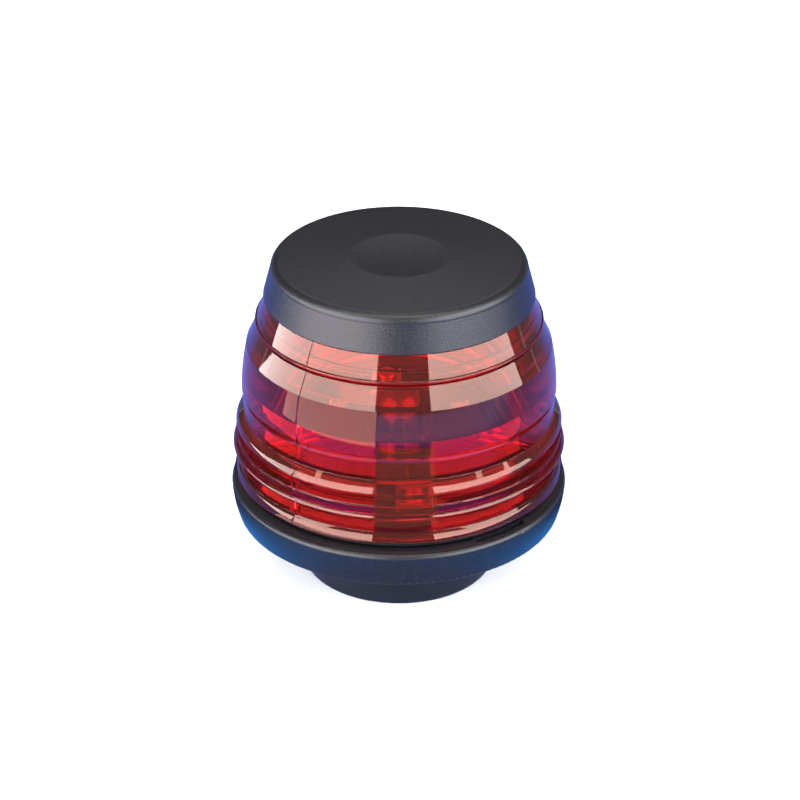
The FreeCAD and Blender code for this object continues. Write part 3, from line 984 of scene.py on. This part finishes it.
# ---- bulb ---------------------------------------------------------------------------------------
@dataclass
class Bulb:
    """Wedge bulb: its glass, leads and bead, and a coiled filament."""

    turns: int = 22
    coil_r: float = 0.24
    wire_r: float = 0.04
    points_per_turn: int = 12
    crown_r: float = 5.15
    glass_wall: float = 0.75
    frost_wall: float = 0.06
    frost_deep: float = 3.2

    def filament(self) -> bpy.types.Object:
        """Builds the coil between the leads as a tube along a helix.

        Returns:
            The coil.
        """
        low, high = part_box("bulb_filament")
        middle = (low + high) / 2
        curve = bpy.data.curves.new("filament_coil", "CURVE")
        curve.dimensions = "3D"
        curve.bevel_depth = self.wire_r * MM
        curve.bevel_resolution = 3
        count = self.turns * self.points_per_turn
        helix = curve.splines.new("POLY")
        helix.points.add(count)
        for step, point in enumerate(helix.points):
            angle = FULL_TURN * step / self.points_per_turn
            x = low.x + (high.x - low.x) * step / count
            y = middle.y + self.coil_r * MM * math.cos(angle)
            z = middle.z + self.coil_r * MM * math.sin(angle)
            point.co = (x, y, z, 1)
        guide = bpy.data.objects.new("filament_guide", curve)
        coil = placed("filament_coil", bpy.data.meshes.new_from_object(guide))
        bpy.data.objects.remove(guide)
        return coil

    def frost(self) -> bpy.types.Object:
        """Builds the dusted layer inside the crown of the glass.

        Returns:
            The layer.
        """
        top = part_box("bulb_envelope")[1].z / MM - self.glass_wall
        outer = self.crown_r - self.glass_wall
        reach = math.acos((outer - self.frost_deep) / outer)
        bend = reach / 2

        def dome(radius: float, angle: float) -> Point:
            """Returns the point of a dome at an angle from the axis."""
            return radius * math.sin(angle), top - outer + radius * math.cos(angle)

        inner = outer - self.frost_wall
        outline = Section().to(0, top).arc(dome(outer, bend), dome(outer, reach)).to(*dome(inner, reach))
        outline.arc(dome(inner, bend), (0, top - self.frost_wall))
        return as_piece("bulb_frost", turned_mesh(outline.outline(), even_angles(96)), Body.BULB)

    def build(self) -> list[bpy.types.Object]:
        """Builds the filament and the frost, and dresses the bulb.

        Returns:
            The filament and the frost.
        """
        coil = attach(self.filament(), Body.BULB.value)
        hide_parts("bulb_filament")
        DrawnTungsten().dress(coil)
        frost = self.frost()
        SilicaFrost().dress(frost)
        nodes = frame["nodes"]
        BlownGlass().dress(nodes["bulb_envelope"], nodes["bulb_bead"])
        DrawnNickel().dress(nodes["bulb_lead_right"], nodes["bulb_lead_left"])
        return [coil, frost]


# ---- studio -------------------------------------------------------------------------------------
@dataclass(frozen=True)
class Corner:
    """A corner of a soft light, as the object sees it, with the light's radiance there. Azimuth 0 is at
    the camera, and turns to the camera's right."""

    azimuth_deg: float
    elevation_deg: float
    radiance: float

    def direction(self) -> Vector:
        """Returns the direction from the object to the corner."""
        azimuth, height = math.radians(self.azimuth_deg), math.radians(self.elevation_deg)
        out = math.cos(height)
        return Vector((math.sin(azimuth) * out, -math.cos(azimuth) * out, math.sin(height)))


@dataclass(frozen=True)
class Softbox:
    """A soft light with a flat cloth, which glows unevenly from corner to corner."""

    name: str
    distance_m: float
    colour: str
    corners: tuple[Corner, ...]

    def glow(self) -> bpy.types.Material:
        """Builds the lit cloth.

        Returns:
            The material, which takes its strength from each corner.
        """
        made = bpy.data.materials.new(self.name)
        made.use_nodes = True
        tree = made.node_tree
        tree.nodes.clear()
        level = add_node(tree, "ShaderNodeAttribute", attribute_name="radiance")
        cloth = add_node(
            tree, "ShaderNodeEmission", {"Color": linear(self.colour), "Strength": level.outputs["Fac"]}
        )
        add_node(tree, "ShaderNodeOutputMaterial", {"Surface": cloth.outputs[0]})
        return made

    def build(self, target: Vector) -> bpy.types.Object:
        """Places the light in a plane that faces the target.

        Args:
            target: The point that the light faces.

        Returns:
            The light.
        """
        rays = [corner.direction() for corner in self.corners]
        facing = sum(rays, Vector()).normalized()
        places = [target + ray * (self.distance_m / ray.dot(facing)) for ray in rays]
        data = bpy.data.meshes.new(self.name)
        data.from_pydata(places, [], [range(len(places))])
        levels = data.attributes.new("radiance", "FLOAT", "POINT")
        levels.data.foreach_set("value", [corner.radiance for corner in self.corners])
        data.materials.append(self.glow())
        box = placed(self.name, data)
        box.visible_camera = False
        return box


@dataclass(frozen=True)
class SeamlessPaper(Finish):
    """White background paper, matt coated: even and without any gloss."""

    colour: str = "#f1f1f0"
    fibre_mm: float = 2.0

    def shade(self, tree: bpy.types.NodeTree, place: bpy.types.NodeSocket) -> bpy.types.Node:
        """Builds the matt surface.

        Args:
            tree: The material's node tree.
            place: The coordinate in metres.

        Returns:
            The shader.
        """
        fibres = add_node(
            tree, "ShaderNodeTexNoise", {"Vector": place, "Scale": grain_scale(self.fibre_mm), "Detail": 2.0}
        )
        roughness = add_node(
            tree, "ShaderNodeMapRange", {"Value": fibres.outputs["Fac"], "To Min": 0.9, "To Max": 1.0}
        )
        return add_node(
            tree, "ShaderNodeBsdfPrincipled",
            {
                "Base Color": linear(self.colour), "Roughness": roughness.outputs["Result"],
                "Specular IOR Level": 0.1,
            },
        )


@dataclass(frozen=True)
class BlueCard(Finish):
    """A glowing sheet round the object that only mirrored and refracted rays meet: a painted reflection of a
    blue table.
    Its painted glow is pale blue near the object, then dark, then blue again, deeper in front than behind. It
    cools the undersides and edges of the object and leaves the floor pale."""

    strength: float = 4.8
    ahead_m: float = 0.022
    # painted glow by distance from the sheet's middle, seen only in reflections: pale blue near the object,
    # then dark, then blue
    front: tuple[tuple[float, str], ...] = (
        (0.024, "#4d5677"), (0.034, "#286bb4"), (0.046, "#286bb4"), (0.054, "#05070e"), (0.076, "#05070e"),
        (0.09, "#002c9f"), (0.13, "#002c9f"), (0.16, "#6482c4"), (0.38, "#6482c4"), (0.46, "#3e485b"),
    )
    behind: tuple[tuple[float, str], ...] = (
        (0.024, "#4d5677"), (0.034, "#286bb4"), (0.046, "#286bb4"), (0.06, "#05070e"), (0.09, "#05070e"),
        (0.1, "#3c4c8c"), (0.3, "#3c4c8c"), (0.46, "#3e485b"),
    )

    def shade(self, tree: bpy.types.NodeTree, place: bpy.types.NodeSocket) -> bpy.types.Node:
        """Builds the glow, which changes with the distance from the card's middle.

        Args:
            tree: The material's node tree.
            place: The coordinate in metres.

        Returns:
            The shader.
        """
        offset = add_node(
            tree, "ShaderNodeVectorMath", {0: place, 1: (0.0, self.ahead_m, 0.0)}, operation="ADD"
        )
        length = add_node(tree, "ShaderNodeVectorMath", {0: offset.outputs[0]}, operation="LENGTH")
        glows = []
        for stops in (self.front, self.behind):
            fall = add_node(tree, "ShaderNodeValToRGB", {"Fac": length.outputs["Value"]})
            colours = fall.color_ramp.elements
            while len(colours) < len(stops):
                colours.new(1.0)
            for element, (distance, colour) in zip(colours, stops):
                element.position, element.color = distance, linear(colour)
            glows.append(fall.outputs["Color"])
        axes = add_node(tree, "ShaderNodeSeparateXYZ", {"Vector": place})
        back = add_node(
            tree, "ShaderNodeMapRange", {"Value": axes.outputs["Y"], "From Min": -0.09, "From Max": -0.03}
        )
        colour = add_node(
            tree, "ShaderNodeMix",
            {0: back.outputs["Result"], 6: glows[0], 7: glows[1]},
            data_type="RGBA",
        )
        return add_node(
            tree, "ShaderNodeEmission", {"Color": colour.outputs[2], "Strength": self.strength}
        )


@dataclass(frozen=True)
class WhiteCard(Finish):
    """A glowing sheet on the floor at the left, seen only in mirrored rays: a painted reflection of a white
    card lit a little rose.
    """

    colour: str = "#ffd6e6"
    strength: float = 4.6

    def shade(self, tree: bpy.types.NodeTree, place: bpy.types.NodeSocket) -> bpy.types.Node:
        """Builds the even glow."""
        return add_node(
            tree, "ShaderNodeEmission", {"Color": linear(self.colour), "Strength": self.strength}
        )


@dataclass(frozen=True)
class GreyCard(WhiteCard):
    """A dimly glowing sheet on the floor under the camera, seen only in mirrored rays: a painted reflection
    of a grey card.
    """

    colour: str = "#bfb4ac"
    strength: float = 1.1


@dataclass
class Studio:
    """Pale floor, blue card, soft lights and the camera."""

    elevation_deg: float = 28.36
    distance_m: float = 0.6623
    aim_share: float = 0.5294
    aside_m: float = 0.0002
    roll_deg: float = 0.2
    lens_mm: float = 147.6
    floor_m: float = 6.0
    card_m: float = 3.0
    card_gap_m: float = 0.0001
    white_deg: tuple[float, float] = (-82.0, -15.0)
    white_m: tuple[float, float] = (0.15, 0.95)
    grey_deg: tuple[float, float] = (-14.0, 22.0)
    grey_m: tuple[float, float] = (0.078, 0.128)
    sector_steps: int = 24
    room_colour: str = "#f4f5f7"
    room_level: float = 0.95
    ambient_front: float = 0.5
    ambient_behind: float = 0.1
    sensor_mm: float = 36.0
    near_m: float = 0.01
    softboxes: tuple[Softbox, ...] = (
        Softbox(
            "softbox_left", 0.9, "#f6f8ff",
            (
                Corner(-17, -1, 9.8), Corner(-17, 38, 9.8), Corner(-74, 38, 8.7), Corner(-86, 20, 8.7),
                Corner(-98, 8, 10.0), Corner(-118, -1, 12.0),
            ),
        ),
        Softbox(
            "softbox_right", 0.9, "#f6f8ff",
            (Corner(23, 1, 9.8), Corner(23, 37, 9.8), Corner(90, 37, 8.2), Corner(98, 1, 8.2)),
        ),
        Softbox(
            "softbox_behind", 0.4, "#f2f5ff",
            (Corner(152, 38, 2.1), Corner(152, 66, 1.9), Corner(208, 66, 1.9), Corner(208, 38, 2.1)),
        ),
        Softbox(
            "softbox_above", 1.0, "#fff6ec",
            (Corner(-70, 42, 7.2), Corner(70, 42, 7.2), Corner(120, 80, 2.4), Corner(-120, 80, 2.4)),
        ),
    )

    def slab(self, name: str, size: float, height: float) -> bpy.types.Object:
        """Builds a square sheet that lies level round the axis.

        Args:
            name: The sheet's name.
            size: Length of its side in metres.
            height: Its height in metres.

        Returns:
            The sheet.
        """
        mesh = bmesh.new()
        bmesh.ops.create_grid(mesh, x_segments=8, y_segments=8, size=size / 2)
        bmesh.ops.translate(mesh, vec=(0, 0, height), verts=mesh.verts)
        return self.lay(name, mesh)

    @staticmethod
    def lay(name: str, mesh: bmesh.types.BMesh) -> bpy.types.Object:
        """Makes a sheet of the studio.

        Args:
            name: The sheet's name.
            mesh: The mesh, in metres. It is freed.

        Returns:
            The sheet.
        """
        data = bpy.data.meshes.new(name)
        mesh.to_mesh(data)
        mesh.free()
        sheet = placed(name, data)
        return sheet

    def sector(
        self, name: str, height: float, turns_deg: tuple[float, float], reach_m: tuple[float, float]
    ) -> bpy.types.Object:
        """Builds a level sheet between two azimuths and two distances from the axis.

        Args:
            name: The sheet's name.
            height: Its height in metres.
            turns_deg: Its first and last azimuth.
            reach_m: Its near and far distance from the axis.

        Returns:
            The sheet.
        """
        (first, last), (near, far) = turns_deg, reach_m
        mesh = bmesh.new()
        rows = []
        for reach in (near, far):
            turns = [
                math.radians(first + (last - first) * step / self.sector_steps)
                for step in range(self.sector_steps + 1)
            ]
            rows.append([mesh.verts.new((reach * math.sin(t), -reach * math.cos(t), height)) for t in turns])
        for at in range(self.sector_steps):
            mesh.faces.new((rows[0][at], rows[0][at + 1], rows[1][at + 1], rows[1][at]))
        return self.lay(name, mesh)

    def floor(self) -> None:
        """Lays the floor and the cards."""
        ground = CAD_BOX[0].z
        paper = self.slab("floor", self.floor_m, ground)
        SeamlessPaper().dress(paper)
        card = self.slab("blue_card", self.card_m, ground + self.card_gap_m)
        BlueCard().dress(card)
        white = self.sector("white_card", ground + 2 * self.card_gap_m, self.white_deg, self.white_m)
        WhiteCard().dress(white)
        grey = self.sector("grey_card", ground + 2 * self.card_gap_m, self.grey_deg, self.grey_m)
        GreyCard().dress(grey)
        # the blue, white and grey cards glow and show only in mirrored and refracted rays: painted
        # reflections
        for sheet in (card, white, grey):
            sheet.visible_camera = False
            sheet.visible_diffuse = False
            sheet.visible_shadow = False

    def surroundings(self) -> None:
        """Fills the room with a dim light, and shows it pale to the camera."""
        world = bpy.data.worlds.new("room")
        bpy.context.scene.world = world
        world.use_nodes = True
        tree = world.node_tree
        tree.nodes.clear()
        path = add_node(tree, "ShaderNodeLightPath")
        seen = add_node(
            tree, "ShaderNodeMath",
            {0: path.outputs["Is Camera Ray"], 1: path.outputs["Is Diffuse Ray"]}, operation="MAXIMUM",
        )
        direction = add_node(tree, "ShaderNodeTexCoord").outputs["Generated"]
        heading = add_node(tree, "ShaderNodeSeparateXYZ", {"Vector": direction})
        dim = add_node(
            tree, "ShaderNodeMapRange",
            {"Value": heading.outputs["Y"], "To Min": self.ambient_front, "To Max": self.ambient_behind},
        )
        level = add_node(
            tree, "ShaderNodeMapRange",
            {"Value": seen.outputs[0], "To Min": dim.outputs["Result"], "To Max": self.room_level},
        )
        room = add_node(
            tree, "ShaderNodeBackground",
            {"Color": linear(self.room_colour), "Strength": level.outputs["Result"]},
        )
        add_node(tree, "ShaderNodeOutputWorld", {"Surface": room.outputs[0]})

    def camera(self, target: Vector) -> None:
        """Places the camera.

        Args:
            target: The point that the camera is aimed past.
        """
        data = bpy.data.cameras.new("camera")
        data.lens = self.lens_mm
        data.sensor_width = self.sensor_mm
        data.clip_start = self.near_m
        eye = placed("camera", data)
        height = math.radians(self.elevation_deg)
        back = Vector((0, -math.cos(height), math.sin(height)))
        eye.location = target + back * self.distance_m + Vector((self.aside_m, 0, 0))
        eye.rotation_mode = "ZXY"
        eye.rotation_euler = (math.pi / 2 - height, 0, math.radians(self.roll_deg))
        bpy.context.scene.camera = eye

    def build(self) -> None:
        """Builds the studio round the object."""
        low, high = CAD_BOX
        target = Vector((0, 0, low.z + (high.z - low.z) * self.aim_share))
        self.camera(target)
        self.floor()
        self.surroundings()
        for box in self.softboxes:
            box.build(target)
        bpy.context.scene.view_settings.view_transform = "Standard"


def main() -> None:
    """Builds the light's pieces in order, then the studio."""
    logging.basicConfig(level=logging.INFO, format="%(name)s: %(message)s")
    for assembly in (Lens(), Cap(), Base(), Bulb()):
        for piece in assembly.build():
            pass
    Studio().build()


if __name__ == "__main__":
    main()
